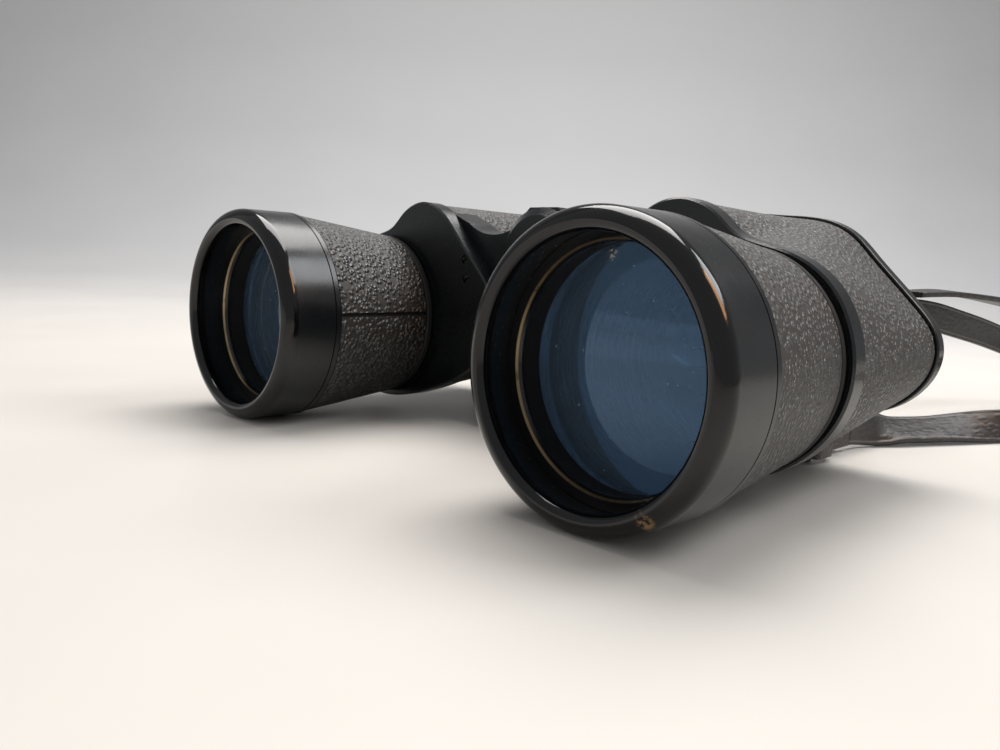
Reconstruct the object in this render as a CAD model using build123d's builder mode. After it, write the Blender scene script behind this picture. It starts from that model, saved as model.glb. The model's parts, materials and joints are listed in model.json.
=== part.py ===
"""Porro-prism binoculars, 50 mm objectives, centre focus, with a leather neck strap.

Frame: +X to the user's left barrel, +Y from the objectives to the eyepieces, +Z up, origin under the
middle of the body at the level of the surface it stands on. All lengths are in millimetres.
"""
from build123d import *
import os
from math import atan2, cos, degrees, hypot, pi, sin, sqrt

os.makedirs("parts", exist_ok=True)

# ---------------------------------------------------------------- driving dimensions
length = 168.0  # objective lip to eyecup rim
axis_height = 30.0  # objective axes above the surface
objective_x = 64.3  # objective axis from the middle plane
ocular_x = 33.5  # eyepiece axis from the middle plane, for 67 mm between the eyes
ocular_rise = 4.5  # eyepiece axis above the objective axis
hinge_rise = 20.0  # hinge axis above the objective axis

bezel_radius = 30.0
bezel_bore = 25.2
bezel_depth = 17.2
bezel_shoulder_y = 11.6  # where the bezel butts on the tube
ring_y = 9.5  # front of the ring that holds the lens
ring_end_y = 11.3
lens_radius = 25.2
lens_aperture = 24.2
lens_edge_y = 16.6
crown_edge = 1.8  # thickness of each lens at its rim
flint_edge = 5.6
cell_end_y = 26.0
tube_bore = 26.9
neck_y = 50.7  # rear end of the leatherette on the conical tube
neck_radius = 24.7
face_y = 53.7  # front face of the prism housing
plate = 3.2  # thickness of the housing's front face
lip_end_y = 58.8
wall_end_y = 103.8  # rear edge of the housing wall
cover_y = 104.1
cover_end_y = 108.5
wall = 2.5
skin = 0.8  # leatherette thickness
lip_proud = 1.3  # lip above the metal wall

shelf_y = 82.0
shelf = 3.0
prism_radius = 11.5  # half the width of a prism
prism_height = 20.4
prism_clearance = 0.1
light_window = 9.5  # radius of the shelf's windows

axle_radius = 5.0
spindle_radius = 3.0
running_gap = 0.05
knuckle_radius = 14.0
knuckle_top = 14.3  # flat on top of the hinge, above the hinge axis
knuckle_flat = 5.1  # half its width
wheel_y = 106.2
wheel_width = 14.0
wheel_radius = 13.5
bridge_y = 133.0
bridge_width = 3.3
barrel_radius = 13.0
ocular_travel = 5.0
tripod_radius = 3.175

strap_width = 10.5
strap_thickness = 2.0
lug_x = 58.3
lug_y = 101.5
lug_foot = 1.4
lug_thickness = 3.0
fold_gap = 3.4  # from the lug's middle to the strap that leaves it
ply_end_y = 123.5
fold_end_y = 126.0
rivet_y = 118.5
rivet_radius = 1.8

set_screws = [(-38.4, 19.0), (-39.2, 13.4)]  # outward and up from the objective axis
set_screw_radius = 1.3
cover_screws = [(20.0, 2.0), (-19.0, 31.0), (-20.0, -12.5)]

# Outlines of a housing seen from the front: outward from its objective axis, and up.
lip_outline = [
    (-19.2, 35.9), (-12.8, 35.1), (-7.4, 32.2), (-2.9, 28.4), (3.0, 26.2), (11.2, 23.9), (19.3, 18.9),
    (25.2, 9.6), (26.9, -1.0), (24.1, -11.2), (16.8, -20.0), (4.5, -26.0), (-9.0, -26.0), (-22.0, -22.7),
    (-34.5, -18.0), (-44.5, -11.5), (-49.0, -1.0), (-49.6, 9.0), (-44.8, 15.9), (-36.5, 23.9),
    (-27.6, 32.6),
]
rear_outline = [
    (-21.0, 35.6), (-11.5, 35.0), (-4.0, 33.8), (2.5, 30.6), (8.0, 25.3), (14.3, 19.0), (20.3, 13.0),
    (24.8, 7.2), (26.0, 1.2), (23.4, -6.1), (16.8, -12.2), (6.0, -15.8), (-8.0, -16.9), (-22.0, -16.6),
    (-34.5, -14.5), (-42.5, -9.5), (-46.0, -1.0), (-45.5, 9.0), (-41.0, 18.5), (-34.5, 26.5),
    (-28.5, 32.8),
]

sides = {"left": 1, "right": -1}

# Optical axes seen from the front, from the objective axis: light goes objective, middle, ocular.
ocular_dx = ocular_x - objective_x
middle_dx = ocular_dx / 2 + ocular_rise / 2
middle_rise = ocular_rise / 2 - ocular_dx / 2
prism_step = hypot(middle_dx, middle_rise)
light_paths = [(0, 0), (middle_dx, middle_rise), (ocular_dx, ocular_rise)]


# ---------------------------------------------------------------- helpers
def station(y):
    """Plane facing forward, y behind the objective lip; local x is X, local y is height over the axes."""
    return Plane(origin=(0, y - length / 2, axis_height), x_dir=(1, 0, 0), z_dir=(0, -1, 0))


def turning(x, rise):
    """Plane of a turned profile: local x runs back from the objective lip, local y is the radius."""
    return Plane(origin=(x, -length / 2, axis_height + rise), x_dir=(0, 1, 0), z_dir=(1, 0, 0))


def turning_axis(x, rise):
    return Axis((x, 0, axis_height + rise), (0, 1, 0))


def turned(x, rise, profile):
    """A piece turned about a line along Y; profile lists (y, radius)."""
    with BuildPart() as piece:
        with BuildSketch(turning(x, rise)):
            with BuildLine():
                Polyline(*profile, close=True)
            make_face()
        revolve(axis=turning_axis(x, rise))
    return piece.part


def ring(x, rise, y0, y1, inner, outer):
    return turned(x, rise, [(y0, inner), (y1, inner), (y1, outer), (y0, outer)])


def sag(radius, depth, r):
    """Depth of a spherical face at radius r, when it is depth at radius."""
    ball = (radius * radius + depth * depth) / (2 * depth)
    return ball - sqrt(ball * ball - r * r)


def lens(x, rise, y0, y1, radius, bulge0, bulge1):
    """A lens whose rim runs from y0 to y1; each bulge is how far back that face is at the middle."""
    faces = []
    for y, bulge in ((y0, bulge0), (y1, bulge1)):
        half = bulge - (1 if bulge > 0 else -1) * sag(radius, abs(bulge), radius / 2)
        faces.append(((y + bulge, 0), (y + half, radius / 2), (y, radius)))
    with BuildPart() as piece:
        with BuildSketch(turning(x, rise)):
            with BuildLine():
                ThreePointArc(*faces[0])
                Line(faces[0][2], faces[1][2])
                ThreePointArc(*reversed(faces[1]))
                Line(faces[1][0], faces[0][0])
            make_face()
        revolve(axis=turning_axis(x, rise))
    return piece.part


def inset(outline, distance):
    """The outline moved inwards; its points run clockwise."""
    moved = []
    for index, (x, z) in enumerate(outline):
        x0, z0 = outline[index - 1]
        x1, z1 = outline[(index + 1) % len(outline)]
        run = hypot(x1 - x0, z1 - z0)
        moved.append((x + distance * (z1 - z0) / run, z - distance * (x1 - x0) / run))
    return moved


def between(t, distance):
    """The metal wall's outline a share t of the way back, moved inwards."""
    front = inset(lip_outline, lip_proud)
    rear = inset(rear_outline, lip_proud)
    blend = [(a * (1 - t) + c * t, b * (1 - t) + d * t) for (a, b), (c, d) in zip(front, rear)]
    return inset(blend, distance)


def save(name, part):
    part.label = name
    export_step(part, f"parts/{name}.step")


def knurled(x, rise, y0, y1, radius, bore, grooves, depth):
    """A finger wheel with straight round grooves along its rim."""
    with BuildPart() as piece:
        with BuildSketch(turning(x, rise)):
            with BuildLine():
                edge = 0.8
                Polyline((y0, bore), (y1, bore), (y1, radius - edge), (y1 - edge, radius),
                         (y0 + edge, radius), (y0, radius - edge), close=True)
            make_face()
        revolve(axis=turning_axis(x, rise))
        with BuildSketch(station(y0)):
            with Locations((x, rise)):
                with PolarLocations(radius + 0.25 * depth, grooves):
                    Circle(depth)
        extrude(amount=-(y1 - y0), mode=Mode.SUBTRACT)
    return piece.part


# ---------------------------------------------------------------- objective group
def bezel(x):
    """Front ring: a rounded lip, a plain side with one fine groove, and a bore that opens behind the lip."""
    band_y = 15.2
    groove = 0.35
    shell = 1.8
    with BuildPart() as piece:
        with BuildSketch(turning(x, 0)):
            with BuildLine():
                ThreePointArc((2.0, bezel_bore), (0.55, bezel_bore + 0.6), (0, bezel_bore + 1.9))
                ThreePointArc((0, bezel_bore + 1.9), (0.95, bezel_radius - 1.0), (3.6, bezel_radius))
                Polyline(
                    (3.6, bezel_radius), (band_y, bezel_radius),
                    (band_y, bezel_radius - groove), (band_y + groove, bezel_radius - groove),
                    (band_y + groove, bezel_radius), (bezel_depth - 0.3, bezel_radius),
                    (bezel_depth, bezel_radius - 0.3), (bezel_depth, bezel_radius - shell),
                    (bezel_shoulder_y, bezel_radius - shell), (bezel_shoulder_y, bezel_bore + 1.5),
                    (4.5, bezel_bore + 1.4), (2.0, bezel_bore),
                )
            make_face()
        revolve(axis=turning_axis(x, 0))
    return piece.part


def objective_tube(x):
    """Conical tube with a baffled bore, a neck collar and a spigot in the housing."""
    front_radius = bezel_radius - 1.1
    front_spigot = bezel_radius - 1.8
    undercut = 23.4
    collar = 25.4
    edge = 0.4
    spigot = 20.9
    teeth = 17
    bore_y = cell_end_y + 0.5
    bore_front = 23.6
    bore_rear = 18.6
    bore_end = face_y + plate
    tooth = 1.1
    outer = [
        (bezel_shoulder_y, front_spigot), (bezel_depth, front_spigot), (bezel_depth, front_radius),
        (neck_y, neck_radius), (neck_y, undercut), (neck_y + 0.7, undercut), (neck_y + 0.7, collar - edge),
        (neck_y + 0.7 + edge, collar), (face_y - 0.2 - edge, collar), (face_y - 0.2, collar - edge),
        (face_y - 0.2, spigot + 1.5), (face_y, spigot + 1.5), (face_y, spigot), (bore_end, spigot),
    ]
    inner = []
    for index in range(teeth + 1):
        share = index / teeth
        y = bore_end + (bore_y - bore_end) * share
        radius = bore_rear + (bore_front - bore_rear) * share
        if index > 0:
            inner.append((y, radius))
        if index < teeth:
            inner.append((y, radius + tooth))
    inner += [(bore_y, tube_bore), (bezel_shoulder_y, tube_bore)]
    return turned(x, 0, outer + inner)


def retaining_ring(x):
    """Ring in front of the lens, its mouth bevelled."""
    outer = bezel_bore + 1.35
    mouth = 24.5
    inner = 23.8
    return turned(x, 0, [
        (ring_y, mouth), (ring_y + 1.2, inner), (ring_end_y, inner), (ring_end_y, outer), (ring_y, outer),
    ])


def lens_cell(x):
    """Sleeve that holds the lens pair: a smooth mouth, a pocket for the lenses and a tail."""
    outer = tube_bore - 0.1
    pocket = lens_radius + 0.05
    pocket_end = lens_edge_y + crown_edge + flint_edge + 0.2
    return turned(x, 0, [
        (ring_end_y + 0.05, lens_aperture), (lens_edge_y - 0.2, lens_aperture), (lens_edge_y - 0.2, pocket),
        (pocket_end, pocket), (pocket_end, lens_aperture + 0.2), (cell_end_y, lens_aperture + 0.2),
        (cell_end_y, outer), (bezel_shoulder_y + 0.05, outer), (bezel_shoulder_y + 0.05, bezel_bore + 1.3),
        (ring_end_y + 0.05, bezel_bore + 1.3),
    ])


def tube_skin(x, side):
    """Leatherette round the tube, with its joint on the side towards the hinge."""
    seam = 1.2
    front_y = bezel_depth + 0.15
    front_radius = bezel_radius - 1.1
    with BuildPart() as piece:
        with BuildSketch(turning(x, 0)):
            with BuildLine():
                Polyline((front_y, front_radius), (neck_y, neck_radius), (neck_y, neck_radius + skin),
                         (front_y, front_radius + skin), close=True)
            make_face()
        revolve(axis=turning_axis(x, 0))
        with BuildSketch(station(0)):
            with Locations((x - side * bezel_radius, 2.0)):
                Rectangle(bezel_radius, seam)
        extrude(amount=-2 * neck_y, mode=Mode.SUBTRACT)
    return piece.part


# ---------------------------------------------------------------- prism housing
def arm_spans(side):
    """Where the two hinge arms of a housing lie along the hinge."""
    if side < 0:
        return (58.6, 68.4), (94.5, 103.6)
    return (68.8, 78.6), (85.0, 94.1)


def arm_face(side, y):
    """Face of one hinge arm: a flat-topped knuckle, and a web with hollow edges into the housing wall."""
    top_bar = 4.0
    with BuildSketch(station(y)) as face:
        with Locations((0, hinge_rise)):
            Circle(knuckle_radius)
        with Locations((0, hinge_rise + knuckle_top - top_bar / 2)):
            Rectangle(2 * knuckle_flat, top_bar)
        make_hull()
        with BuildLine():
            Line((0, hinge_rise), (side * 9.4, 29.6))
            ThreePointArc((side * 9.4, 29.6), (side * 19.4, 26.6), (side * 30.0, 29.9))
            Polyline((side * 30.0, 29.9), (side * 38.0, 33.0), (side * 44.0, 22.0), (side * 34.0, -6.0),
                     (side * 19.0, -6.0))
            ThreePointArc((side * 19.0, -6.0), (side * 13.6, 3.2), (side * 4.0, hinge_rise - 13.3))
            Line((side * 4.0, hinge_rise - 13.3), (0, hinge_rise))
        make_face()
    return face.sketch


def housing(side):
    bore = axle_radius if side > 0 else axle_radius + running_gap
    with BuildPart() as piece:
        with BuildSketch(station(face_y)):
            with BuildLine():
                Spline(*[(side * (objective_x + dx), z) for dx, z in lip_outline], periodic=True)
            make_face()
        extrude(amount=-(lip_end_y - face_y))
        chamfer(piece.edges().group_by(Axis.Y)[0], 0.5)
        for y, t in ((lip_end_y, 0), (wall_end_y, 1)):
            with BuildSketch(station(y)):
                with BuildLine():
                    Spline(*[(side * (objective_x + dx), z) for dx, z in between(t, 0)], periodic=True)
                make_face()
        loft()
        for y0, y1 in arm_spans(side):
            extrude(arm_face(side, y0), amount=-(y1 - y0))
        for y, t in ((face_y + plate, 0), (wall_end_y, 1)):
            with BuildSketch(station(y)):
                with BuildLine():
                    Spline(*[(side * (objective_x + dx), z) for dx, z in between(t, wall)], periodic=True)
                make_face()
        loft(mode=Mode.SUBTRACT)
        with BuildSketch(station(face_y)):
            with Locations((side * objective_x, 0)):
                Circle(21.0)
            with Locations(*[(side * (objective_x + dx), z) for dx, z in set_screws]):
                Circle(set_screw_radius)
        extrude(amount=-plate, mode=Mode.SUBTRACT)
        with BuildSketch(station(face_y)):
            with Locations((0, hinge_rise)):
                Circle(bore)
        extrude(amount=-(length - face_y), mode=Mode.SUBTRACT)
        extrude(lug_face(side), amount=-lug_thickness)
    return piece.part


def lug_face(side):
    """Face of the strap lug under the housing: a frame with an upright slot, standing on its foot."""
    slot = 3.0
    slot_height = strap_width + 0.4
    top = -14.6
    x = side * lug_x
    with BuildSketch(station(lug_y - lug_thickness / 2)) as face:
        with BuildLine():
            Polyline((x - 5.0, top), (x - 4.0, -axis_height), (x + 4.0, -axis_height), (x + 5.0, top),
                     close=True)
        make_face()
        with Locations((x, -axis_height + lug_foot + slot_height / 2)):
            Rectangle(slot, slot_height, mode=Mode.SUBTRACT)
    return face.sketch


def housing_skin(side):
    """Leatherette round the housing, cut away round the hinge arms and the strap lug."""
    with BuildPart() as piece:
        for distance, mode in ((-skin, Mode.ADD), (0, Mode.SUBTRACT)):
            for y, t in ((lip_end_y, 0), (wall_end_y, 1)):
                with BuildSketch(station(y)):
                    with BuildLine():
                        outline = between(t, distance)
                        Spline(*[(side * (objective_x + dx), z) for dx, z in outline], periodic=True)
                    make_face()
            loft(mode=mode)
        for y0, y1 in ((face_y, lip_end_y + 0.3), (wall_end_y - 0.4, cover_end_y)):
            with BuildSketch(station(y0)):
                with Locations((side * objective_x, 0)):
                    Rectangle(4 * bezel_radius, 4 * bezel_radius)
            extrude(amount=-(y1 - y0), mode=Mode.SUBTRACT)
        for y0, y1 in arm_spans(side):
            extrude(arm_face(side, y0 - 0.2), amount=-(y1 - y0 + 0.4), mode=Mode.SUBTRACT)
        with BuildSketch(station(lug_y - 3)):
            with Locations((side * lug_x, -axis_height + 10)):
                Rectangle(12, 20)
        extrude(amount=-6, mode=Mode.SUBTRACT)
    return piece.part


def screw_row(side, places, y, head, head_height, shank, shank_length, direction):
    """Slotted screws along Y; direction is 1 when the heads face back and -1 when they face front."""
    spots = [(side * (objective_x + dx), z) for dx, z in places]
    with BuildPart() as piece:
        with BuildSketch(station(y)):
            with Locations(*spots):
                Circle(head)
        extrude(amount=-direction * head_height)
        with BuildSketch(station(y + direction * head_height)):
            with Locations(*spots):
                Rectangle(3 * head, 0.5, rotation=35)
        extrude(amount=direction * 0.5, mode=Mode.SUBTRACT)
        with BuildSketch(station(y)):
            with Locations(*spots):
                Circle(shank)
        extrude(amount=direction * shank_length)
    return piece.part


def prism_shelf(side):
    """Plate across the housing that carries a prism on each face, with a window on each light path."""
    share = (shelf_y + shelf / 2 - lip_end_y) / (wall_end_y - lip_end_y)
    with BuildPart() as piece:
        with BuildSketch(station(shelf_y)):
            with BuildLine():
                outline = between(share, wall + 1.0)
                Spline(*[(side * (objective_x + dx), z) for dx, z in outline], periodic=True)
            make_face()
            with Locations(*[(side * (objective_x + dx), z) for dx, z in light_paths]):
                Circle(light_window, mode=Mode.SUBTRACT)
        extrude(amount=-shelf)
    return piece.part


def prism_frame(side, first, second):
    """Middle of a prism and its long direction, from one light path to the next."""
    x0, z0 = side * (objective_x + first[0]), first[1]
    x1, z1 = side * (objective_x + second[0]), second[1]
    run = hypot(x1 - x0, z1 - z0)
    return (x0 + x1) / 2, (z0 + z1) / 2, (x1 - x0) / run, (z1 - z0) / run


def porro_prism(side, first, second, base_y, forward):
    """Right-angle prism with round ends and a flat on its roof, standing on the shelf."""
    x, z, ux, uz = prism_frame(side, first, second)
    half = prism_step / 2 + prism_radius
    facing = -1 if forward else 1
    roof = Plane(origin=(x, base_y - length / 2, axis_height + z), x_dir=(ux, 0, uz),
                 z_dir=(-facing * uz, 0, facing * ux))
    with BuildPart() as piece:
        with BuildSketch(station(base_y)):
            with Locations((x, z)):
                SlotOverall(2 * half, 2 * prism_radius, rotation=degrees(atan2(uz, ux)))
        extrude(amount=-facing * prism_height)
        with BuildSketch(roof):
            with BuildLine():
                Polyline((-half, 0), (half, 0), (half - prism_height, prism_height),
                         (prism_height - half, prism_height), close=True)
            make_face()
        extrude(amount=prism_radius + 1, both=True, mode=Mode.INTERSECT)
    return piece.part


def prism_clip(side, first, second, base_y, forward):
    """Spring strap over the roof of a prism, down to the shelf on both sides."""
    x, z, ux, uz = prism_frame(side, first, second)
    facing = -1 if forward else 1
    leg = prism_radius + prism_clearance
    sheet = 0.6
    across = Plane(origin=(x, base_y - length / 2, axis_height + z), x_dir=(-uz, 0, ux),
                   z_dir=(-facing * ux, 0, -facing * uz))
    with BuildPart() as piece:
        with BuildSketch(across):
            with BuildLine():
                Polyline(
                    (-leg - sheet, 0), (-leg - sheet, prism_height + sheet), (leg + sheet, prism_height + sheet),
                    (leg + sheet, 0), (leg, 0), (leg, prism_height), (-leg, prism_height), (-leg, 0),
                    close=True,
                )
            make_face()
        extrude(amount=3.0, both=True)
    return piece.part


def prism_clips(side):
    front = prism_clip(side, light_paths[1], light_paths[2], shelf_y, True)
    rear = prism_clip(side, light_paths[0], light_paths[1], shelf_y + shelf, False)
    with BuildPart() as piece:
        add(front)
        add(rear)
    return piece.part


def rear_cover(side):
    """Back plate of the housing: the eyepiece hole, a pocket over the rear prism, and screw holes."""
    pocket = 2.7
    with BuildPart() as piece:
        with BuildSketch(station(cover_y)):
            with BuildLine():
                outline = inset(rear_outline, -0.3)
                Spline(*[(side * (objective_x + dx), z) for dx, z in outline], periodic=True)
            make_face()
        extrude(amount=-(cover_end_y - cover_y))
        fillet(piece.edges().group_by(Axis.Y)[-1], 1.0)
        fillet(piece.edges().group_by(Axis.Y)[0], 0.4)
        with BuildSketch(station(cover_y)):
            with Locations((side * ocular_x, ocular_rise)):
                Circle(barrel_radius + 0.5)
            with Locations(*[(side * (objective_x + dx), z) for dx, z in cover_screws]):
                Circle(1.2)
        extrude(amount=-(cover_end_y - cover_y), mode=Mode.SUBTRACT)
        x, z, ux, uz = prism_frame(side, light_paths[0], light_paths[1])
        with BuildSketch(station(cover_y)):
            with Locations((x, z)):
                SlotOverall(prism_step + 2 * prism_radius, 2 * prism_radius + 3,
                            rotation=degrees(atan2(uz, ux)))
        extrude(amount=-pocket, mode=Mode.SUBTRACT)
    return piece.part


# ---------------------------------------------------------------- hinge and focus
def hinge_axle():
    """Hollow axle: a camera-screw thread at the front, and the focus spindle's bore at the back."""
    front_y = 58.4
    end_y = 122.0
    return turned(0, hinge_rise, [
        (front_y, tripod_radius), (66.0, tripod_radius), (67.8, 0), (84.0, 0), (86.0, spindle_radius + 0.1),
        (end_y, spindle_radius + 0.1), (end_y, axle_radius), (front_y, axle_radius),
    ])


def hinge_cap():
    """Bevelled front cap of the hinge, with the mouth of the camera-screw thread."""
    front_y = 56.0
    end_y = 58.4
    return turned(0, hinge_rise, [
        (front_y, tripod_radius + 0.8), (front_y + 0.8, tripod_radius), (end_y, tripod_radius),
        (end_y, knuckle_top), (end_y - 0.3, knuckle_top), (front_y, 12.0),
    ])


def scale_disc():
    """Disc behind the hinge for the eye-distance scale, with a bevelled rim."""
    return turned(0, hinge_rise, [
        (103.9, axle_radius), (105.8, axle_radius), (105.8, 11.6), (105.0, 12.6), (103.9, 12.6),
    ])


def focus_spindle():
    """Threaded spindle in the axle, with a stepped hub that carries the bridge arms."""
    pitch = 2.0
    groove = 0.4
    thread_end = 108.0
    y = 93.0
    profile = [(y, 0), (y, spindle_radius - groove)]
    while y < thread_end:
        profile += [(y + pitch / 2, spindle_radius), (y + pitch, spindle_radius - groove)]
        y += pitch
    profile += [
        (y + 1, spindle_radius), (bridge_y, spindle_radius), (bridge_y, 6.0),
        (bridge_y + 2 * bridge_width + 0.6, 6.0), (bridge_y + 2 * bridge_width + 0.6, 0),
    ]
    return turned(0, hinge_rise, profile)


def bridge_cap():
    y = bridge_y + 2 * bridge_width + 0.6
    return turned(0, hinge_rise, [
        (y, 0), (y, 8.6), (y + 1.4, 8.6), (y + 2.4, 7.6), (y + 3.0, 5.6), (y + 3.0, 0),
    ])


def bridge_arm(side):
    """Arm from the spindle to one ocular barrel: a hub leaf, a tapering web and a clamp ring."""
    clamp = 3.0
    first = bridge_y if side > 0 else bridge_y + bridge_width + 0.3
    hub_bore = 6.0 if side > 0 else 6.0 + running_gap
    with BuildPart() as piece:
        with BuildSketch(station(first)):
            with Locations((0, hinge_rise)):
                Circle(8.6)
            with Locations((side * ocular_x, ocular_rise)):
                Circle(barrel_radius - 1.0)
            make_hull()
        extrude(amount=-bridge_width)
        fillet(piece.edges().filter_by(Axis.Y, reverse=True), 0.5)
        with BuildSketch(station(bridge_y)):
            with Locations((side * ocular_x, ocular_rise)):
                Circle(barrel_radius + clamp)
        extrude(amount=-(2 * bridge_width + 0.3))
        with BuildSketch(station(bridge_y)):
            with Locations((side * ocular_x, ocular_rise)):
                Circle(barrel_radius)
            with Locations((0, hinge_rise)):
                Circle(hub_bore)
        extrude(amount=-3 * bridge_width, mode=Mode.SUBTRACT)
    return piece.part


# ---------------------------------------------------------------- eyepieces
def ocular_barrel(x):
    front_y = 111.6
    end_y = 150.4
    return turned(x, ocular_rise, [
        (front_y, 9.6), (front_y + 4, 9.6), (front_y + 4, 11.0), (end_y, 11.0), (end_y, barrel_radius),
        (front_y, barrel_radius),
    ])


def ocular_sleeve(x):
    outer = barrel_radius + 2.2
    inner = barrel_radius + running_gap
    return turned(x, ocular_rise, [
        (cover_end_y, inner), (124.5, inner), (124.5, outer - 0.7), (123.8, outer), (cover_end_y, outer),
    ])


def ocular_head(x):
    """Smooth ring behind the bridge on the side with no dioptre setting."""
    outer = barrel_radius + 3.8
    return turned(x, ocular_rise, [
        (141.4, barrel_radius), (150.0, barrel_radius), (150.0, outer - 0.6), (149.4, outer),
        (146.2, outer), (146.0, outer - 0.4), (145.4, outer - 0.4), (145.2, outer), (142.0, outer),
        (141.4, outer - 0.6),
    ])


def eyecup(x):
    """Hard eyecup with a flared dish, on a short tube that slides in the ocular barrel."""
    rim = 19.8
    with BuildPart() as piece:
        with BuildSketch(turning(x, ocular_rise)):
            with BuildLine():
                Polyline((160.2, 10.2), (161.0, 11.5), (length - 2.6, 15.6))
                ThreePointArc((length - 2.6, 15.6), (length, rim - 2.0), (length - 2.2, rim))
                ThreePointArc((length - 2.2, rim), (160.5, 18.4), (155.5, 16.6))
                Polyline((155.5, 16.6), (152.0, 16.6), (152.0, 10.95), (143.0, 10.95), (143.0, 9.4),
                         (154.4, 9.4), (154.4, 10.2), (160.2, 10.2))
            make_face()
        revolve(axis=turning_axis(x, ocular_rise))
    return piece.part


# ---------------------------------------------------------------- strap
def at(x, y, z):
    """A point of the strap from the middle plane, the objective lip and the surface."""
    return Vector(x, y - length / 2, z)


def corner_radii(points):
    """Arc radius at each inner point: 0.45 of the shorter run over the tangent of half the turn."""
    radii = []
    for before, corner, after in zip(points, points[1:], points[2:]):
        run0 = corner - before
        run1 = after - corner
        half_turn = run0.get_angle(run1) / 2 * pi / 180
        radii.append(0.45 * min(run0.length, run1.length) * cos(half_turn) / sin(half_turn))
    print("radii", [round(radius, 1) for radius in radii])
    return radii


def ribbon(points, width, thickness, upright=True):
    """A flat strap along a route, on edge or lying flat."""
    with BuildPart() as piece:
        with BuildLine() as route:
            FilletPolyline(*points, radius=corner_radii(points))
        path = route.line
        start = path % 0
        with BuildSketch(Plane(origin=path @ 0, z_dir=start, x_dir=(-start.Y, start.X, 0))):
            if upright:
                Rectangle(thickness, width)
            else:
                Rectangle(width, thickness)
        sweep(path=path)
    run = sum(edge.length for edge in path.edges())
    share = piece.part.volume / (width * thickness * run)
    print("ribbon length", round(run, 1), "volume share", round(share, 3))
    return piece.part


def strap_end(side):
    """End of the strap folded round the lug's outer post, both plies running back together."""
    inner_x = fold_gap - strap_thickness - 0.4
    plan = [(inner_x, ply_end_y), (inner_x, 112.0), (0.0, 108.0), (0.0, 98.6), (6.9, 98.6), (6.9, 107.0),
            (fold_gap, 112.0), (fold_gap, fold_end_y)]
    points = [at(side * (lug_x + dx), y, post_z) for dx, y in plan]
    radii = [4, 4, 1.9, 1.9, 4, 4]
    with BuildPart() as piece:
        with BuildLine() as route:
            FilletPolyline(*points, radius=radii)
        path = route.line
        with BuildSketch(Plane(origin=path @ 0, z_dir=path % 0, x_dir=(0, 0, 1))):
            Rectangle(strap_width, strap_thickness)
        sweep(path=path)
    return piece.part


def strap_rivets(side):
    """Rivet head on each face of a folded strap end."""
    head = 0.8
    outer_x = lug_x + fold_gap + strap_thickness / 2 + head / 2
    inner_x = lug_x + fold_gap - 3 * strap_thickness / 2 - 0.4 - head / 2
    with BuildPart() as piece:
        for x in (outer_x, inner_x):
            with Locations(Location((side * x, rivet_y - length / 2, post_z), (0, 90, 0))):
                Cylinder(rivet_radius, head)
    return piece.part


floor_z = strap_width / 2 + 0.3  # middle of a strap that stands on edge
post_z = lug_foot + 0.2 + strap_width / 2
left_route = [
    at(lug_x + fold_gap, fold_end_y + 0.4, post_z), at(lug_x + fold_gap + 0.4, 134, 6.4),
    at(65.3, 146, floor_z),
    at(71, 159.5, floor_z), at(77.2, 171.8, floor_z), at(84.5, 184.5, floor_z), at(93, 199, floor_z),
    at(102.5, 213, floor_z), at(112, 224, floor_z), at(121, 230.5, floor_z),
]
right_route = [
    at(-lug_x - fold_gap, fold_end_y + 0.4, post_z), at(-lug_x - fold_gap + 0.3, 136, 6.3),
    at(-59.4, 151, floor_z),
    at(-52, 166.5, 6.6), at(-39, 178.5, 9), at(-20, 183.5, 14), at(0, 182.5, 22), at(19, 180.5, 30),
    at(36, 182, 36), at(47, 194, 38.5), at(52.5, 211, 37.8), at(56.5, 230, 34.6), at(59.8, 250, 31.4),
    at(62.5, 270, 27.6), at(67, 288, 23.8), at(75, 302.5, 20.2), at(87.5, 314.5, 16.2),
]
coil_centre = (128.0, 285.0)
coil_radius = 56.0
coil_band = 14.0
tail_route = [
    at(49.6, 196.5, 45.0), at(53.5, 213, 46.2), at(57.5, 232, 45.5), at(61.2, 251, 44.2),
    at(64.2, 270, 42.6), at(68, 288, 40.5),
]


def strap_coil():
    """Outer shape of the strap's spare length, wound on edge."""
    with BuildPart() as piece:
        with BuildSketch(Plane.XY.offset(0.3)):
            with Locations((coil_centre[0], coil_centre[1] - length / 2)):
                Circle(coil_radius)
                Circle(coil_radius - coil_band, mode=Mode.SUBTRACT)
        extrude(amount=strap_width)
    return piece.part


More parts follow.
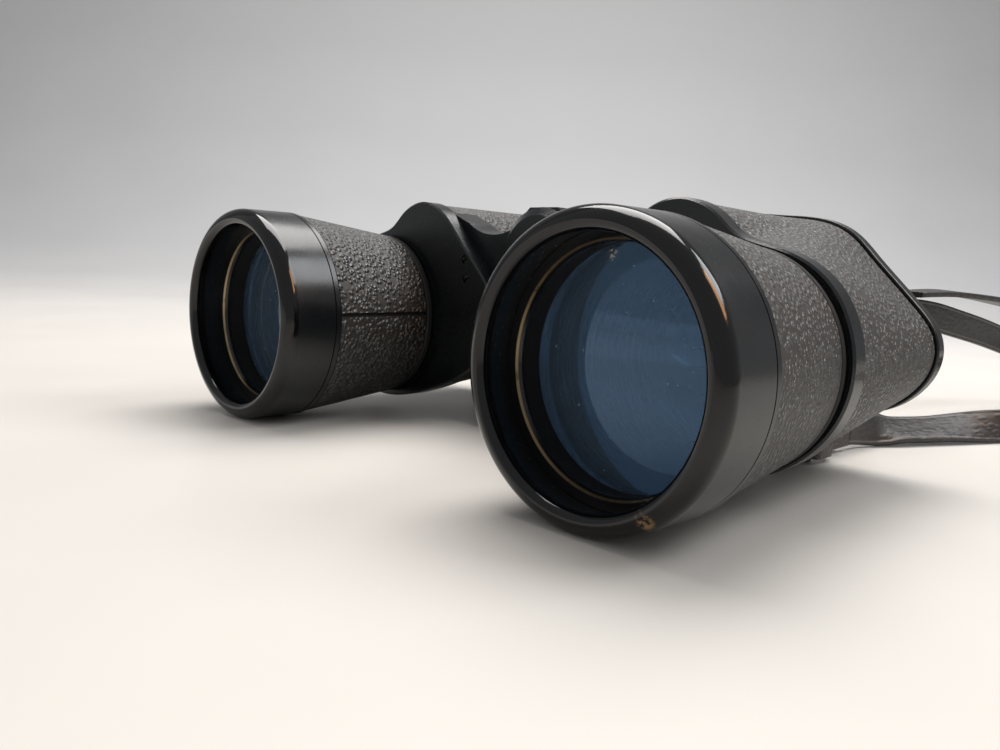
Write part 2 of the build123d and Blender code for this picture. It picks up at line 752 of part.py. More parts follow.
# ---------------------------------------------------------------- build
for name, side in sides.items():
    x = side * objective_x
    eye_x = side * ocular_x
    save(f"{name}_objective_bezel", bezel(x))
    flint_y = lens_edge_y + crown_edge
    save(f"{name}_retaining_ring", retaining_ring(x))
    save(f"{name}_objective_crown", lens(x, 0, lens_edge_y, flint_y, lens_radius, -2.4, 3.4))
    save(f"{name}_objective_flint", lens(x, 0, flint_y, flint_y + flint_edge, lens_radius, 3.4, 0.9))
    save(f"{name}_lens_cell", lens_cell(x))
    save(f"{name}_objective_tube", objective_tube(x))
    save(f"{name}_tube_leatherette", tube_skin(x, side))
    save(f"{name}_prism_housing", housing(side))
    save(f"{name}_housing_leatherette", housing_skin(side))
    grub = set_screw_radius - 0.02
    screws = [
        screw_row(side, set_screws, face_y + 1.2, grub, 0.7, grub, 1.7, -1),
        screw_row(side, cover_screws, cover_end_y, 2.1, 1.0, 1.18, 3.6, 1),
    ]
    save(f"{name}_housing_screws", Compound(children=screws))
    save(f"{name}_prism_shelf", prism_shelf(side))
    save(f"{name}_front_prism", porro_prism(side, light_paths[1], light_paths[2], shelf_y, True))
    save(f"{name}_rear_prism", porro_prism(side, light_paths[0], light_paths[1], shelf_y + shelf, False))
    save(f"{name}_prism_clips", prism_clips(side))
    save(f"{name}_rear_cover", rear_cover(side))
    save(f"{name}_ocular_sleeve", ocular_sleeve(eye_x))
    save(f"{name}_ocular_barrel", ocular_barrel(eye_x))
    save(f"{name}_field_lens", lens(eye_x, ocular_rise, 116.0, 119.4, 10.95, -1.2, 0.8))
    save(f"{name}_eye_lens", lens(eye_x, ocular_rise, 155.4, 158.4, 10.15, -1.0, 1.4))
    save(f"{name}_eyecup", eyecup(eye_x))
    save(f"{name}_bridge_arm", bridge_arm(side))
    save(f"{name}_strap_end", strap_end(side))
    save(f"{name}_strap_rivets", strap_rivets(side))

save("left_ocular_head", ocular_head(ocular_x))
save("dioptre_ring", knurled(-ocular_x, ocular_rise, 141.6, 149.8, barrel_radius + 4.0,
                             barrel_radius + running_gap, 48, 0.7))
save("hinge_axle", hinge_axle())
save("hinge_cap", hinge_cap())
save("eye_distance_scale", scale_disc())
save("focus_wheel", knurled(0, hinge_rise, wheel_y, wheel_y + wheel_width, wheel_radius,
                            axle_radius + running_gap, 36, 0.8))
save("wheel_retainer", ring(0, hinge_rise, wheel_y + wheel_width + 0.2, 122.0, axle_radius, 7.4))
save("focus_spindle", focus_spindle())
save("bridge_cap", bridge_cap())
save("strap_left", ribbon(left_route, strap_width, strap_thickness))
save("strap_right", ribbon(right_route, strap_width, strap_thickness))
save("strap_coil", strap_coil())
save("strap_tail", ribbon(tail_route, strap_width, strap_thickness, upright=False))
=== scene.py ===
"""Looks for the binoculars: camera, leather strap, a material for every CAD node, table and light."""
import json
import math

import bmesh
import bpy
from mathutils import Matrix, Vector


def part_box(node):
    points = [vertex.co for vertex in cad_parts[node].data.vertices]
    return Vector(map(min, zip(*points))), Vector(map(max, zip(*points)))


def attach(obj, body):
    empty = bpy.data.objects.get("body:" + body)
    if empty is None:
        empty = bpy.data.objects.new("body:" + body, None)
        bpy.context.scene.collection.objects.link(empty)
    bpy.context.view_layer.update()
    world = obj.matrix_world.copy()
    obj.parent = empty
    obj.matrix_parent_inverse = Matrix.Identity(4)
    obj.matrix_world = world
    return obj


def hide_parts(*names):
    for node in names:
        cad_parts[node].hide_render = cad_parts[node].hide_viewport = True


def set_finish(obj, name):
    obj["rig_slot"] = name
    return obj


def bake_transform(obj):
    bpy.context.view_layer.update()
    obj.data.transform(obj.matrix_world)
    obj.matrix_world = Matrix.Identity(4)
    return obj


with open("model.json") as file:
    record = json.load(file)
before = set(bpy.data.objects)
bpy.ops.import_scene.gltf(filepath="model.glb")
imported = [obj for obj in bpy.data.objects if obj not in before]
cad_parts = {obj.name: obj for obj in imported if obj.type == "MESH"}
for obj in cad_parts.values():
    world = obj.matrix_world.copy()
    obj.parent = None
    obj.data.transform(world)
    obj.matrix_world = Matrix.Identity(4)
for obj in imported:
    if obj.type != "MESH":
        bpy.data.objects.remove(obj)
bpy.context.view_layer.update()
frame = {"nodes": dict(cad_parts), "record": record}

nodes = frame["nodes"]
MM = 0.001
SIDES = {"left": 1, "right": -1}
SHARP_ANGLE = math.radians(32)  # edges that turn by more than this stay crisp

# ---------------------------------------------------------------- where things are, from the frame
lip_y = Vector(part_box("left_objective_bezel")[0]).y


def placed(x, y, z):
    """A point given in millimetres from the middle plane, the objective lip and the table."""
    return Vector((x * MM, lip_y + y * MM, z * MM))


# ---------------------------------------------------------------- camera
CAMERA_PLACE = (158.07, -112.98, 49.07)  # as for placed(), fitted to the circles seen in the photograph


def make_camera():
    """Camera close to the table, looking across the front of the binoculars."""
    turn, tilt, roll = math.radians(45.0), math.radians(7.78), math.radians(3.01)
    back = Vector((math.sin(turn) * math.cos(tilt), -math.cos(turn) * math.cos(tilt), math.sin(tilt)))
    level = Vector((math.cos(turn), math.sin(turn), 0))
    up = back.cross(level)
    right = math.cos(roll) * level + math.sin(roll) * up
    top = -math.sin(roll) * level + math.cos(roll) * up
    data = bpy.data.cameras.new("camera")
    data.lens = 30.0
    data.sensor_width = 36.0
    data.clip_start = 0.005
    data.clip_end = 50.0
    camera = bpy.data.objects.new("camera", data)
    bpy.context.scene.collection.objects.link(camera)
    axes = Matrix((right, top, back)).transposed()
    camera.matrix_world = Matrix.Translation(placed(*CAMERA_PLACE)) @ axes.to_4x4()
    bpy.context.scene.camera = camera


make_camera()


# ---------------------------------------------------------------- the neck strap
STRAP_WIDTH = 10.5 * MM
STRAP_THICKNESS = 2.0 * MM
FLOOR_Z = 5.55  # middle of a strap that stands on edge
POST_Z = 6.85  # middle of a strap where it leaves a lug
COIL_CENTRE = (128.0, 285.0)
LEFT_ROUTE = [
    (61.7, 126.4, POST_Z), (62.1, 134, 6.2), (65.3, 146, 4.6), (71, 159.5, 4.2), (77.2, 171.8, 4.6),
    (84.5, 184.5, 5.2), (93, 199, FLOOR_Z), (102.5, 213, FLOOR_Z), (112, 224, FLOOR_Z),
]
RIGHT_ROUTE = [
    (87.5, 314.5, 16.2), (75, 302.5, 20.2), (67, 288, 23.8), (62.5, 270, 27.6), (59.8, 250, 31.4),
    (56.5, 230, 34.6), (52.5, 211, 37.8), (47, 194, 38.5), (36, 182, 36), (19, 180.5, 30),
    (0, 182.5, 22), (-20, 183.5, 14), (-39, 178.5, 9), (-52, 166.5, 6.6), (-59.4, 151, FLOOR_Z),
    (-61.4, 136, 6.3), (-61.7, 126.4, POST_Z),
]
TAIL_ROUTE = [
    (49.6, 196.5, 45.0), (53.5, 213, 46.2), (57.5, 232, 45.5), (61.2, 251, 44.2), (64.2, 270, 42.6),
    (68, 288, 40.5),
]


def coil_turns():
    """The strap's spare length wound on edge, from the outside in, rising at its end to cross over itself."""
    first, last, step = -97.0, 490.0, 24.0  # degrees
    outside, closing = 55.0, 8.5  # first radius, and how much less the last one is
    rising, rise = 0.14, 7.5  # share of the turns that rises, and how far
    points = []
    angle = first
    while angle < last:
        share = (angle - first) / (last - first)
        radius = outside - closing * share
        lift = max(0.0, share - (1 - rising)) / rising
        points.append((
            COIL_CENTRE[0] + radius * math.cos(math.radians(angle)),
            COIL_CENTRE[1] + radius * math.sin(math.radians(angle)),
            FLOOR_Z + rise * lift * lift,
        ))
        angle += step
    return points


def spline_line(name, route):
    """Points read from a smooth curve that has the route's points as its control points."""
    data = bpy.data.curves.new(name, "CURVE")
    data.dimensions = "3D"
    data.resolution_u = 12
    spline = data.splines.new("NURBS")
    spline.points.add(len(route) - 1)
    for knot, spot in zip(spline.points, route):
        knot.co = (*placed(*spot), 1.0)
    spline.order_u = 3
    spline.use_endpoint_u = True
    guide = bpy.data.objects.new(name, data)
    bpy.context.scene.collection.objects.link(guide)
    bpy.context.view_layer.update()
    mesh = bpy.data.meshes.new_from_object(guide)
    line = [vertex.co.copy() for vertex in mesh.vertices]
    bpy.data.meshes.remove(mesh)
    bpy.data.objects.remove(guide)
    return line


def ribbon(name, line, lean):
    """A flat strap along a line; lean gives its angle from upright at each distance along."""
    # One face of its section, as shares of half the thickness and half the width, with a pressed line by
    # each edge.
    half = [
        (0.0, -1.0), (0.62, -0.99), (0.95, -0.93), (1.0, -0.84), (0.86, -0.78), (1.0, -0.72), (1.0, -0.36),
        (1.0, 0.0), (1.0, 0.36), (1.0, 0.72), (0.86, 0.78), (1.0, 0.84), (0.95, 0.93), (0.62, 0.99),
    ]
    section = half + [(-a, -b) for a, b in half]
    mesh = bpy.data.meshes.new(name)
    built = bmesh.new()
    layer = built.loops.layers.uv.new("UVMap")
    rings = []
    along = []
    distance = 0.0
    for index, spot in enumerate(line):
        before = line[max(index - 1, 0)]
        after = line[min(index + 1, len(line) - 1)]
        distance += (spot - before).length
        heading = (after - before).normalized()
        level = Vector((-heading.y, heading.x, 0)).normalized()
        upright = heading.cross(level) * -1
        angle = lean(distance)
        up = upright * math.cos(angle) + level * math.sin(angle)
        out = level * math.cos(angle) - upright * math.sin(angle)
        rings.append([
            built.verts.new(spot + out * (a * STRAP_THICKNESS / 2) + up * (b * STRAP_WIDTH / 2))
            for a, b in section
        ])
        along.append(distance)
    count = len(section)
    for index in range(len(rings) - 1):
        for corner in range(count):
            following = (corner + 1) % count
            face = built.faces.new((
                rings[index][corner], rings[index][following], rings[index + 1][following],
                rings[index + 1][corner],
            ))
            face.smooth = True
            heights = [section[corner][1], section[following][1], section[following][1], section[corner][1]]
            places = [along[index], along[index], along[index + 1], along[index + 1]]
            for loop, place, height in zip(face.loops, places, heights):
                loop[layer].uv = (place, height * STRAP_WIDTH / 2)
    built.faces.new(rings[0])
    built.faces.new(rings[-1])
    bmesh.ops.recalc_face_normals(built, faces=built.faces)
    built.to_mesh(mesh)
    built.free()
    piece = bpy.data.objects.new(name, mesh)
    bpy.context.scene.collection.objects.link(piece)
    return piece


def ease(value, low, high):
    """0 up to low, 1 from high, smooth between them."""
    share = min(1.0, max(0.0, (value - low) / (high - low)))
    return share * share * (3 - 2 * share)


def main_lean(distance):
    """Behind its left lug the strap leans over, then stands up again before the coil."""
    most = math.radians(58.0)
    over = ease(distance, 0.006, 0.026)  # metres along the strap
    upright_again = ease(distance, 0.036, 0.082)
    return -most * over * (1 - upright_again)


def tail_lean(distance):
    """The tail lies flat, a little wavy."""
    flat = math.radians(90.0)
    wave, waves = 0.06, 60.0  # radians either way, and radians of wave for each metre
    return flat + wave * math.sin(distance * waves)


def make_strap():
    """One strap from the left lug, round the coil and back over the top to the right lug, and its tail."""
    line = spline_line("strap_guide", LEFT_ROUTE + coil_turns() + RIGHT_ROUTE)
    strap = ribbon("neck_strap", line, main_lean)
    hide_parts("strap_left", "strap_right", "strap_coil")
    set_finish(strap, "strap_leather")
    tail = ribbon("neck_strap_tail", spline_line("tail_guide", TAIL_ROUTE), tail_lean)
    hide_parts("strap_tail")
    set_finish(tail, "strap_leather")
    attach(tail, "left_barrel")
    length = sum((b - a).length for a, b in zip(line, line[1:]))
    print("strap length", round(length, 4))
    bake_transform(strap)
    return strap, tail


strap_pieces = make_strap()


# ---------------------------------------------------------------- pieces finer than the CAD's facets
def lathe(name, x, rise, profile, slot, body, stands_for, segments=144):
    """A smooth piece turned about a line along Y; profile lists (y, radius) in millimetres, 0 at a pole."""
    built = bmesh.new()
    rings = []
    for y, radius in profile:
        if radius == 0:
            rings.append([built.verts.new(placed(x, y, rise))])
            continue
        ring = []
        for index in range(segments):
            angle = 2 * math.pi * index / segments
            spot = placed(x + radius * math.cos(angle), y, rise + radius * math.sin(angle))
            ring.append(built.verts.new(spot))
        rings.append(ring)
    for near, far in zip(rings, rings[1:]):
        for index in range(segments):
            following = (index + 1) % segments
            corners = [near[index % len(near)], near[following % len(near)],
                       far[following % len(far)], far[index % len(far)]]
            unique = [v for place, v in enumerate(corners) if v not in corners[:place]]
            built.faces.new(unique).smooth = True
    bmesh.ops.recalc_face_normals(built, faces=built.faces)
    mesh = bpy.data.meshes.new(name)
    built.to_mesh(mesh)
    built.free()
    mesh.set_sharp_from_angle(angle=SHARP_ANGLE)
    piece = bpy.data.objects.new(name, mesh)
    bpy.context.scene.collection.objects.link(piece)
    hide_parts(*stands_for)
    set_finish(piece, slot)
    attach(piece, body)
    return piece


def cap_profile(y, depth, radius, steps=28):
    """A domed face from its pole to its edge at y; depth is how far the pole stands off the edge."""
    ball = (radius * radius + depth * depth) / (2 * abs(depth))
    side = math.copysign(1.0, depth)
    points = []
    for step in range(steps + 1):
        r = radius * step / steps
        points.append((y + side * (math.sqrt(ball * ball - r * r) - (ball - abs(depth))), r))
    return points


OBJECTIVE_X = 64.3
OBJECTIVE_Z = 30.0
GLASS_RADIUS = 25.15
GLASS_FRONT_Y = 16.6
GLASS_BACK_Y = 23.9
GLASS_FRONT_DOME = -1.5  # towards the lip
GLASS_BACK_DOME = 0.9
fine_pieces = []
for name, side in SIDES.items():
    front = cap_profile(GLASS_FRONT_Y, GLASS_FRONT_DOME, GLASS_RADIUS)
    back = cap_profile(GLASS_BACK_Y, GLASS_BACK_DOME, GLASS_RADIUS)
    fine_pieces.append(lathe(
        f"{name}_objective_glass", side * OBJECTIVE_X, OBJECTIVE_Z, front + back[::-1], "coated_glass",
        f"{name}_barrel", [f"{name}_objective_crown", f"{name}_objective_flint"]))


# ---------------------------------------------------------------- node helpers
class Shader:
    """A material's node tree with short ways to add and join nodes."""

    def __init__(self, name):
        self.material = bpy.data.materials.new(name)
        self.material.use_nodes = True
        self.tree = self.material.node_tree
        self.bsdf = self.tree.nodes["Principled BSDF"]
        source = self.tree.nodes.new("ShaderNodeTexCoord")
        self.coordinates = source.outputs["Object"]
        self.uv = source.outputs["UV"]  # on the strap: metres along and metres across

    def put(self, socket, value):
        if isinstance(value, bpy.types.NodeSocket):
            self.tree.links.new(value, socket)
        else:
            socket.default_value = value

    def set(self, **values):
        for name, value in values.items():
            self.put(self.bsdf.inputs[name.replace("_", " ")], value)

    def noise(self, scale, detail=4.0, rough=0.55, vector=None):
        node = self.tree.nodes.new("ShaderNodeTexNoise")
        self.put(node.inputs["Vector"], vector or self.coordinates)
        node.inputs["Scale"].default_value = scale
        node.inputs["Detail"].default_value = detail
        node.inputs["Roughness"].default_value = rough
        return node.outputs["Fac"]

    def cells(self, scale, vector, feature="SMOOTH_F1", smooth=0.3):
        node = self.tree.nodes.new("ShaderNodeTexVoronoi")
        node.feature = feature
        self.put(node.inputs["Vector"], vector)
        node.inputs["Scale"].default_value = scale
        node.inputs["Randomness"].default_value = 1.0
        if feature == "SMOOTH_F1":
            node.inputs["Smoothness"].default_value = smooth
        return node.outputs["Distance"]

    def part(self, letter, vector=None):
        """One coordinate of a vector."""
        node = self.tree.nodes.new("ShaderNodeSeparateXYZ")
        self.put(node.inputs[0], vector or self.coordinates)
        return node.outputs[letter]

    def warped(self, scale, amount, vector=None):
        """The coordinates pushed about by noise, amount in metres."""
        node = self.tree.nodes.new("ShaderNodeTexNoise")
        self.put(node.inputs["Vector"], vector or self.coordinates)
        node.inputs["Scale"].default_value = scale
        node.inputs["Detail"].default_value = 2.0
        centred = self.tree.nodes.new("ShaderNodeVectorMath")
        centred.operation = "SUBTRACT"
        self.put(centred.inputs[0], node.outputs["Color"])
        centred.inputs[1].default_value = (0.5, 0.5, 0.5)
        scaled = self.tree.nodes.new("ShaderNodeVectorMath")
        scaled.operation = "SCALE"
        self.put(scaled.inputs[0], centred.outputs[0])
        scaled.inputs["Scale"].default_value = amount
        moved = self.tree.nodes.new("ShaderNodeVectorMath")
        moved.operation = "ADD"
        self.put(moved.inputs[0], vector or self.coordinates)
        self.put(moved.inputs[1], scaled.outputs[0])
        return moved.outputs[0]

    def stretched(self, x, y, z, vector=None):
        node = self.tree.nodes.new("ShaderNodeMapping")
        self.put(node.inputs["Vector"], vector or self.coordinates)
        node.inputs["Scale"].default_value = (x, y, z)
        return node.outputs["Vector"]

    def math(self, operation, a, b=0.0, clamp=False):
        node = self.tree.nodes.new("ShaderNodeMath")
        node.operation = operation
        node.use_clamp = clamp
        self.put(node.inputs[0], a)
        self.put(node.inputs[1], b)
        return node.outputs[0]

    def band(self, value, low, high, to_low=0.0, to_high=1.0):
        node = self.tree.nodes.new("ShaderNodeMapRange")
        node.interpolation_type = "SMOOTHSTEP"
        self.put(node.inputs["Value"], value)
        for name, number in zip(("From Min", "From Max", "To Min", "To Max"), (low, high, to_low, to_high)):
            node.inputs[name].default_value = number
        return node.outputs["Result"]

    def mix(self, share, first, second):
        node = self.tree.nodes.new("ShaderNodeMix")
        node.data_type = "RGBA"
        self.put(node.inputs["Factor"], share)
        for socket, value in ((node.inputs[6], first), (node.inputs[7], second)):
            if isinstance(value, bpy.types.NodeSocket):
                self.tree.links.new(value, socket)
            else:
                socket.default_value = (*value, 1.0)
        return node.outputs[2]

    def bump(self, height, depth):
        """Bump of a height from 0 to 1 that stands depth metres high."""
        node = self.tree.nodes.new("ShaderNodeBump")
        node.inputs["Strength"].default_value = 1.0
        node.inputs["Distance"].default_value = depth
        self.put(node.inputs["Height"], height)
        return node.outputs["Normal"]

    def near(self, x, y, z, reach):
        """1 close to a point given as for placed(), falling to 0 at reach millimetres from it."""
        node = self.tree.nodes.new("ShaderNodeVectorMath")
        node.operation = "DISTANCE"
        self.put(node.inputs[0], self.warped(900.0, 0.0012))
        node.inputs[1].default_value = placed(x, y, z)
        return self.band(node.outputs["Value"], 0.45 * reach * MM, reach * MM, 1.0, 0.0)


# ---------------------------------------------------------------- materials
# Marks seen in the photograph, as for placed()
LOWER_CHIP = (80.6, 1.0, 7.2)
UPPER_CHIP = (51.7, 1.5, 53.1)
SMUDGE = (57.8, 14.8, 51.7)


def enamel():
    """Black enamel: a glossy lip, a satin side band behind it, dust, hairline scratches and a few chips."""
    s = Shader("black_enamel")
    patches = s.noise(90.0, 5.0)
    chips = s.band(s.noise(520.0, 3.0, 0.7), 0.72, 0.76)
    dust = s.band(s.noise(1500.0, 2.0), 0.70, 0.78, 0.0, 0.4)
    scratches = s.band(s.noise(1.0, 2.0, 0.6, s.stretched(160.0, 2600.0, 900.0, s.warped(35.0, 0.01))),
                       0.66, 0.72, 0.0, 0.6)
    satin = s.band(s.part("Y"), lip_y + 3.2 * MM, lip_y + 3.9 * MM)
    colour = s.mix(satin, (0.003, 0.003, 0.0035), (0.007, 0.008, 0.009))
    colour = s.mix(dust, colour, (0.05, 0.047, 0.042))
    worn = s.math("MULTIPLY", chips, s.band(patches, 0.5, 0.62), clamp=True)
    lower = s.math("MULTIPLY", s.near(*LOWER_CHIP, 2.2), s.band(s.noise(900.0, 3.0), 0.42, 0.56))
    worn = s.math("MAXIMUM", worn, s.math("MAXIMUM", lower, s.near(*UPPER_CHIP, 0.55)))
    rough = s.math("ADD", s.band(patches, 0.3, 0.7, 0.07, 0.13), s.math("MULTIPLY", satin, 0.14))
    s.set(Base_Color=s.mix(worn, colour, (0.22, 0.13, 0.05)), Metallic=0.0,
          Roughness=s.math("ADD", rough, s.math("MULTIPLY", scratches, 0.12)),
          Specular_IOR_Level=0.42, Normal=s.bump(s.noise(700.0, 3.0), 0.00001))
    return s.material


def satin_paint():
    """Satin black paint with a faint orange peel, rubbed where hands touch."""
    s = Shader("satin_black")
    patches = s.noise(60.0, 4.0)
    dust = s.band(s.noise(1300.0, 2.0), 0.70, 0.8, 0.0, 0.6)
    specks = s.band(s.noise(420.0, 3.0, 0.8), 0.74, 0.78)
    colour = s.mix(dust, (0.004, 0.005, 0.006), (0.05, 0.047, 0.043))
    s.set(Base_Color=s.mix(specks, colour, (0.16, 0.14, 0.11)),
          Roughness=s.band(patches, 0.3, 0.7, 0.16, 0.30), Specular_IOR_Level=0.5,
          Normal=s.bump(s.noise(2200.0, 2.0), 0.00003))
    return s.material


def matt_paint():
    """Matt black inside the tubes."""
    s = Shader("matt_black")
    patches = s.noise(240.0, 4.0)
    s.set(Base_Color=s.mix(patches, (0.010, 0.010, 0.011), (0.020, 0.019, 0.018)),
          Roughness=s.band(patches, 0.3, 0.7, 0.5, 0.7), Specular_IOR_Level=0.3,
          Normal=s.bump(s.noise(2600.0, 3.0), 0.00002))
    return s.material


def leatherette():
    """Pebble grain a little over a millimetre across: shiny worn tops, wrinkled valleys painted near-black as
    shade, and dust.
    """
    s = Shader("leatherette")
    where = s.warped(380.0, 0.0015)
    pebbles = s.cells(780.0, where, smooth=0.15)
    fine = s.noise(4200.0, 3.0, 0.6)
    broad = s.noise(70.0, 3.0)
    tops = s.band(pebbles, 0.08, 0.66, 1.0, 0.0)
    height = s.math("ADD", s.math("MULTIPLY", tops, 0.92), s.math("MULTIPLY", fine, 0.06))
    dirt = s.math("MULTIPLY", s.band(tops, 0.0, 0.12, 1.0, 0.0), s.band(broad, 0.5, 0.8, 0.0, 0.25))
    # The valleys are painted near-black, a painted shade in the hollows of the grain; the tops keep the
    # leather's own dark grey.
    colour = s.mix(tops, (0.004, 0.004, 0.004), s.mix(broad, (0.040, 0.045, 0.047), (0.058, 0.063, 0.065)))
    s.set(Base_Color=s.mix(dirt, colour, (0.08, 0.075, 0.065)),
          Roughness=s.band(tops, 0.2, 0.9, 0.55, 0.27), Specular_IOR_Level=0.8,
          Normal=s.bump(height, 0.00050))
    return s.material


def coated_glass():
    """Objective glass with a blue coating and a few dust specks."""
    s = Shader("coated_glass")
    dust = s.band(s.noise(1100.0, 2.0), 0.74, 0.78, 0.0, 0.4)
    smudge = s.math("MULTIPLY", s.near(*SMUDGE, 2.4), s.band(s.noise(1300.0, 3.0), 0.46, 0.56))
    bloom = s.band(s.noise(60.0, 3.0), 0.3, 0.8, 0.0, 0.03)
    tint = s.mix(s.noise(70.0, 3.0), (0.38, 0.58, 0.82), (0.46, 0.66, 0.88))
    s.set(Base_Color=s.mix(smudge, tint, (0.75, 0.62, 0.40)), Roughness=s.math("ADD", bloom, dust),
          IOR=1.62, Transmission_Weight=s.band(smudge, 0.0, 1.0, 0.91, 0.3),
          Specular_IOR_Level=0.62, Specular_Tint=(0.34, 0.58, 0.92, 1.0))
    return s.material


def clear_glass(name, tint, rough):
    """Glass of one tint, hazed in patches."""
    s = Shader(name)
    bloom = s.band(s.noise(300.0, 3.0), 0.3, 0.8, 0.0, rough)
    s.set(Base_Color=(*tint, 1.0), Roughness=bloom, IOR=1.52, Transmission_Weight=1.0)
    return s.material


def metal(name, light, dark, rough):
    """Turned metal with fine lathe lines and tarnish."""
    s = Shader(name)
    lines = s.noise(1.0, 2.0, 0.5, s.stretched(60.0, 5200.0, 60.0))
    tarnish = s.noise(190.0, 4.0)
    dull = s.band(tarnish, 0.3, 0.7, rough, rough + 0.18)
    s.set(Base_Color=s.mix(s.band(tarnish, 0.35, 0.7), light, dark), Metallic=1.0,
          Roughness=s.math("ADD", dull, s.math("MULTIPLY", lines, 0.08)),
          Normal=s.bump(lines, 0.00001))
    return s.material


def ring_metal():
    """Retaining ring: blackened face, bare brass on the bevel at its mouth."""
    s = Shader("retaining_ring")
    dx = s.math("SUBTRACT", s.math("ABSOLUTE", s.part("X")), OBJECTIVE_X * MM)
    dz = s.math("SUBTRACT", s.part("Z"), OBJECTIVE_Z * MM)
    radius = s.math("SQRT", s.math("ADD", s.math("MULTIPLY", dx, dx), s.math("MULTIPLY", dz, dz)))
    bare = s.math("MULTIPLY", s.band(radius, 24.42 * MM, 24.55 * MM, 1.0, 0.0),
                  s.band(radius, 24.1 * MM, 24.25 * MM))
    rubbed = s.math("MULTIPLY", bare, s.band(s.noise(240.0, 4.0), 0.25, 0.5, 0.45, 1.0))
    s.set(Base_Color=s.mix(rubbed, (0.006, 0.006, 0.007), (0.34, 0.25, 0.14)), Metallic=rubbed,
          Roughness=s.band(rubbed, 0.0, 1.0, 0.14, 0.34))
    return s.material


def dark_metal():
    """Blackened screws, rubbed to bare metal in specks."""
    s = Shader("black_screw")
    patches = s.noise(900.0, 4.0)
    s.set(Base_Color=s.mix(s.band(patches, 0.5, 0.7), (0.02, 0.02, 0.02), (0.20, 0.18, 0.15)), Metallic=0.6,
          Roughness=s.band(patches, 0.3, 0.7, 0.3, 0.5))
    return s.material


def hard_plastic():
    """Polished black eyecup, hazed by handling."""
    s = Shader("eyecup_black")
    haze = s.noise(120.0, 5.0)
    s.set(Base_Color=s.mix(haze, (0.008, 0.008, 0.009), (0.02, 0.018, 0.017)),
          Roughness=s.band(haze, 0.3, 0.7, 0.16, 0.34), Specular_IOR_Level=0.5,
          Normal=s.bump(s.noise(800.0, 3.0), 0.00002))
    return s.material


def strap_leather():
    """Black grained leather gone brown where it has creased."""
    s = Shader("strap_leather")
    where = s.warped(300.0, 0.0015)
    creases = s.cells(520.0, s.stretched(1.0, 0.5, 2.2, where), "DISTANCE_TO_EDGE")
    fine = s.noise(3600.0, 3.0)
    broad = s.noise(55.0, 4.0)
    height = s.math("ADD", s.band(creases, 0.0, 0.25), s.math("MULTIPLY", fine, 0.35))
    worn = s.math("MULTIPLY", s.band(creases, 0.0, 0.1, 1.0, 0.0), s.band(broad, 0.42, 0.62))
    colour = s.mix(broad, (0.016, 0.014, 0.014), (0.035, 0.030, 0.028))
    s.set(Base_Color=s.mix(worn, colour, (0.10, 0.062, 0.042)),
          Roughness=s.band(fine, 0.3, 0.7, 0.40, 0.56), Specular_IOR_Level=0.55,
          Normal=s.bump(height, 0.00016))
    return s.material


def strap_band():
    """The same leather on the long strap: grain that runs with it, and a pressed line by each edge painted
    pale as a highlight.
    """
    s = Shader("strap_band")
    where = s.warped(260.0, 0.0016, s.uv)
    creases = s.cells(700.0, s.stretched(0.4, 1.0, 1.0, where))
    fine = s.noise(3200.0, 3.0, 0.6, s.uv)
    broad = s.noise(45.0, 4.0, 0.6, s.uv)
    across = s.math("ABSOLUTE", s.part("Y", s.uv))
    # A pale line by each edge, in the pressed groove: a painted highlight along the strap's edges.
    highlight_inner_edge = s.band(across, 3.75 * MM, 3.95 * MM)
    highlight_outer_edge = s.band(across, 4.25 * MM, 4.5 * MM, 1.0, 0.0)
    line = s.math("MULTIPLY", highlight_inner_edge, highlight_outer_edge)
    edge = s.band(across, 4.9 * MM, 5.2 * MM)
    height = s.math("ADD", s.band(creases, 0.1, 0.7, 1.0, 0.0), s.math("MULTIPLY", fine, 0.2))
    worn = s.math("MULTIPLY", s.band(creases, 0.5, 0.8), s.band(broad, 0.5, 0.7, 0.0, 0.5))
    colour = s.mix(broad, (0.012, 0.011, 0.011), (0.024, 0.021, 0.020))
    colour = s.mix(worn, colour, (0.07, 0.045, 0.032))
    # Painted highlight: the pale colour along each edge.
    colour = s.mix(s.math("MULTIPLY", line, 0.55), colour, (0.16, 0.15, 0.14))
    s.set(Base_Color=s.mix(edge, colour, (0.010, 0.009, 0.009)),
          Roughness=s.band(fine, 0.3, 0.7, 0.38, 0.54), Specular_IOR_Level=0.55,
          Normal=s.bump(height, 0.00014))
    return s.material


MATERIALS = {
    "black_enamel": enamel(),
    "satin_black": satin_paint(),
    "matt_black": matt_paint(),
    "leatherette": leatherette(),
    "coated_glass": coated_glass(),
    "clear_glass": clear_glass("clear_glass", (0.95, 0.97, 0.98), 0.02),
    "prism_glass": clear_glass("prism_glass", (0.90, 0.95, 0.93), 0.12),
    "brass": metal("brass", (0.42, 0.34, 0.18), (0.20, 0.15, 0.08), 0.32),
    "steel": metal("steel", (0.55, 0.54, 0.52), (0.30, 0.29, 0.27), 0.26),
    "spring_steel": metal("spring_steel", (0.42, 0.43, 0.45), (0.22, 0.21, 0.20), 0.3),
    "black_screw": dark_metal(),
    "eyecup_black": hard_plastic(),
    "strap_leather": strap_leather(),
}
slot_of = {row["node"]: row["material_slot"] for row in frame["record"]["subparts"]}


def dress_nodes():
    """Every CAD node gets its slot's material and smooth faces with crisp edges."""
    for name, piece in nodes.items():
        piece.data.materials.clear()
        piece.data.materials.append(MATERIALS[slot_of[name]])
        piece.data.polygons.foreach_set("use_smooth", [True] * len(piece.data.polygons))
        piece.data.set_sharp_from_angle(angle=SHARP_ANGLE)


dress_nodes()
long_leather = strap_band()
for piece in strap_pieces:
    piece.data.materials.append(long_leather)
edged_ring = ring_metal()
for name in SIDES:
    nodes[f"{name}_retaining_ring"].data.materials[0] = edged_ring
for piece in fine_pieces:
    piece.data.materials.append(MATERIALS[piece["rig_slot"]])


# ---------------------------------------------------------------- table and light
DIAGONAL = 0.7071  # the camera looks across the part at 45 degrees, and so the sheet runs


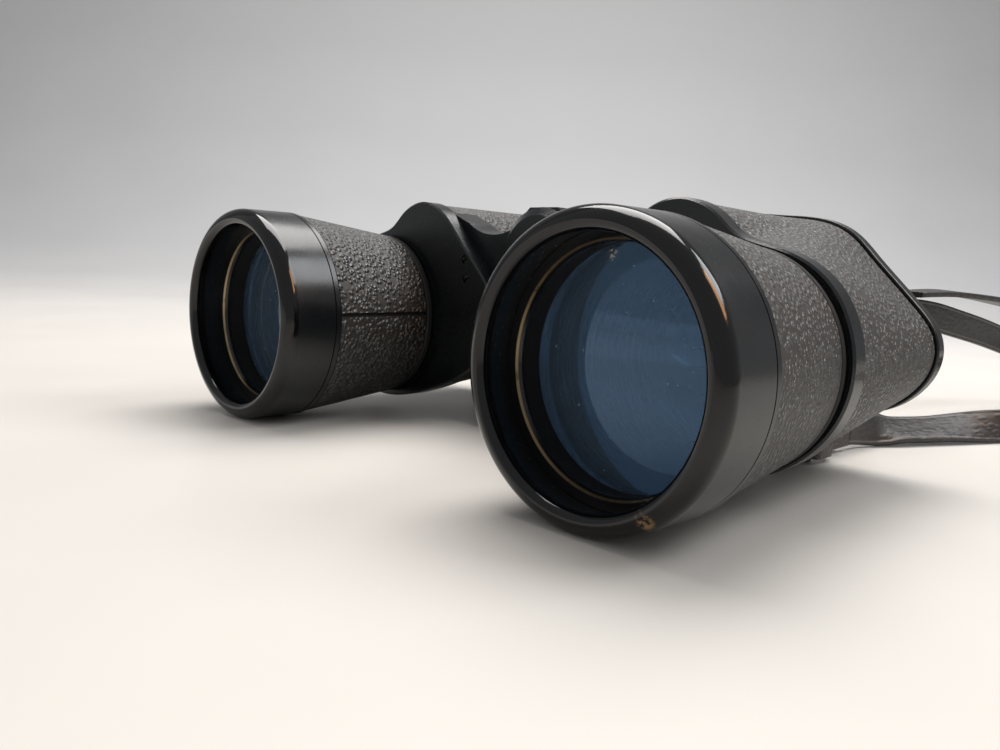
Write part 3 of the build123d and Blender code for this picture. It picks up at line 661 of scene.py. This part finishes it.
def make_stage():
    """A table that runs softly up into a backdrop, its colour going from pale to light grey further back."""
    half_width = 3.0
    # How far the sheet has gone away from the camera past the middle, and how high it is there, in metres.
    rows = [(-1.8, 0.0), (0.55, 0.0), (0.72, 0.012), (0.86, 0.05), (0.98, 0.12), (1.08, 0.23), (1.14, 0.38),
            (1.16, 0.6), (1.17, 2.6)]
    built = bmesh.new()
    depth = Vector((-DIAGONAL, DIAGONAL, 0))
    across = Vector((DIAGONAL, DIAGONAL, 0))
    lines = []
    for reach, height in rows:
        lines.append([
            built.verts.new(depth * reach + across * side + Vector((0, 0, height)))
            for side in (-half_width, 0.0, half_width)
        ])
    for low, high in zip(lines, lines[1:]):
        for index in range(2):
            built.faces.new((low[index], low[index + 1], high[index + 1], high[index]))
    mesh = bpy.data.meshes.new("table")
    built.to_mesh(mesh)
    built.free()
    mesh.polygons.foreach_set("use_smooth", [True] * len(mesh.polygons))
    sheet = bpy.data.objects.new("table", mesh)
    bpy.context.scene.collection.objects.link(sheet)
    s = Shader("table")
    grain = s.noise(9.0, 5.0)
    reach = s.math("MULTIPLY", s.math("SUBTRACT", s.part("Y"), s.part("X")), DIAGONAL)
    # The colour goes from pale to light grey, and the surface gets rougher, further back.
    far = s.band(reach, 0.05, 0.95)
    pale = s.mix(grain, (0.635, 0.60, 0.555), (0.675, 0.64, 0.595))
    s.set(Base_Color=s.mix(far, pale, s.mix(grain, (0.50, 0.50, 0.505), (0.54, 0.54, 0.545))),
          Roughness=s.math("ADD", s.band(grain, 0.3, 0.7, 0.34, 0.44), s.math("MULTIPLY", far, 0.3)),
          Specular_IOR_Level=0.3)
    mesh.materials.append(s.material)


def area_light(name, place, aim, size, power, colour):
    """A rectangular light turned towards aim; place, aim and size in metres, power in watts."""
    data = bpy.data.lights.new(name, "AREA")
    data.shape = "RECTANGLE"
    data.size, data.size_y = size
    data.energy = power
    data.color = colour
    lamp = bpy.data.objects.new(name, data)
    lamp.location = place
    lamp.rotation_euler = (Vector(aim) - Vector(place)).to_track_quat("-Z", "Y").to_euler()
    bpy.context.scene.collection.objects.link(lamp)
    return lamp


def make_light():
    """A grey room, two soft lights above, a faint strip at the front left and a small warm glint."""
    world = bpy.data.worlds.new("studio")
    world.use_nodes = True
    background = world.node_tree.nodes["Background"]
    background.inputs["Color"].default_value = (0.82, 0.83, 0.85, 1)
    background.inputs["Strength"].default_value = 0.47
    bpy.context.scene.world = world
    area_light("overhead", (-0.25, 0.25, 1.0), (0, 0, 0), (0.9, 0.7), 15.0, (1.0, 0.98, 0.96))
    area_light("back_right", (0.50, 0.45, 0.75), (0.05, -0.02, 0.03), (0.5, 0.4), 4.5, (0.96, 0.98, 1.0))
    area_light("front_left", (-0.147, -0.338, 0.021), (0.064, -0.084, 0.024), (0.58, 0.05), 0.035,
               (0.92, 0.96, 1.0))
    glint = area_light("warm_glint", (0.44, 0.06, 0.42), (0.06, -0.08, 0.03), (0.14, 0.26), 1.2,
                       (1.0, 0.50, 0.22))
    glint.visible_diffuse = False
    bpy.context.scene.view_settings.view_transform = "Standard"


make_stage()
make_light()
